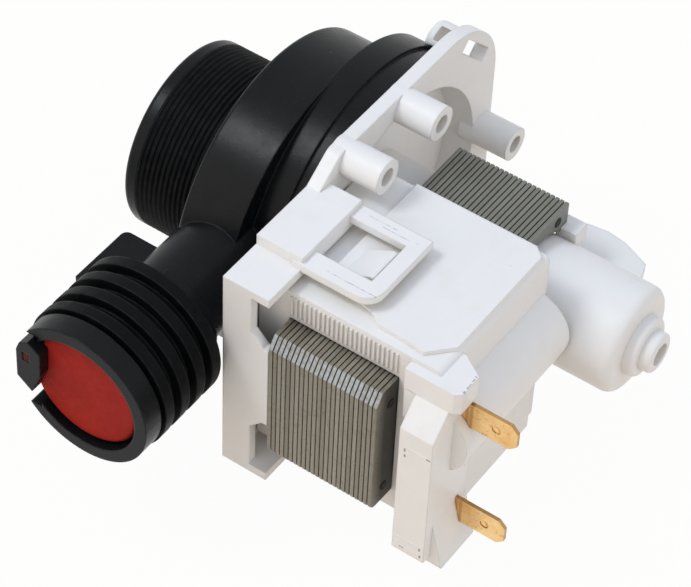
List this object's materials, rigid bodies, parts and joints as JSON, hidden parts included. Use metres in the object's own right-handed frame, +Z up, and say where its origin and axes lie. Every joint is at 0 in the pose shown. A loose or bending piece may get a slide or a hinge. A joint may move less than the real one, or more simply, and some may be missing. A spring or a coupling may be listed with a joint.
{
  "type": "dishwasher pump",
  "caption": "Dishwasher pump: synchronous motor with an open U stator, eccentric ribbed inlet collar, and a side outlet cuff with a flap valve.",
  "frame": {"origin": "on the rotor axis, at the front face of the motor flange", "axes": "+X along the rotor axis to the motor's rear end, -Y along the outlet, +Z up"},
  "size_m": [0.1089, 0.1131, 0.0666],
  "materials": {
    "black_plastic": "satin moulded polypropylene",
    "white_plastic": "smooth moulded plastic",
    "red_rubber": "soft matt rubber",
    "lamination_steel": "punched sheet edges",
    "rivet_steel": "plain",
    "terminal_brass": "stamped",
    "bobbin_plastic": "moulded",
    "copper_wire": "enamelled wire",
    "sleeve_rubber": "satin moulded rubber",
    "shaft_steel": "ground",
    "bearing_carbon": "carbon filled",
    "black_rubber": "moulded",
    "washer_plastic": "moulded",
    "ferrite": "sintered",
    "cover_plastic": "moulded",
    "impeller_plastic": "moulded"
  },
  "bodies": {
    "pump": {"volute": "black_plastic", "inlet_seal_sleeve": "sleeve_rubber", "outlet_seal_sleeve": "sleeve_rubber", "motor_bracket": "white_plastic", "coil_housing": "white_plastic", "flap_root": "red_rubber", "stator_core": "lamination_steel", "core_rivets": "rivet_steel", "coil_bobbin_upper": "bobbin_plastic", "coil_bobbin_lower": "bobbin_plastic", "coil_winding_upper": "copper_wire", "coil_winding_lower": "copper_wire", "terminal_upper": "terminal_brass", "terminal_lower": "terminal_brass", "front_bearing": "bearing_carbon", "rear_bearing": "bearing_carbon", "front_bearing_cushion": "black_rubber", "rear_bearing_cushion": "black_rubber", "front_thrust_washer": "washer_plastic", "rear_thrust_washer": "washer_plastic", "bearing_cover": "cover_plastic", "volute_seal_ring": "black_rubber", "bearing_cover_seal": "black_rubber"},
    "rotor": {"rotor_shaft": "shaft_steel", "rotor_magnet": "ferrite", "magnet_carrier": "bobbin_plastic", "drive_dog": "cover_plastic"},
    "impeller": {"impeller": "impeller_plastic", "impeller_cap": "impeller_plastic"},
    "flap": {"flap_valve": "red_rubber"}
  },
  "joints": [
    {"name": "rotor_spin", "type": "hinge", "parent": "pump", "child": "rotor", "pos_m": [0, 0, 0], "axis": [1, 0, 0], "continuous": true},
    {"name": "impeller_free_play", "type": "hinge", "parent": "rotor", "child": "impeller", "pos_m": [0, 0, 0], "axis": [1, 0, 0], "range_deg": [-126, 126]},
    {"name": "flap_swing", "type": "hinge", "parent": "pump", "child": "flap", "pos_m": [-0.0216, -0.07545, 0.005], "axis": [0, 0, -1], "range_deg": [0, 65]}
  ]
}
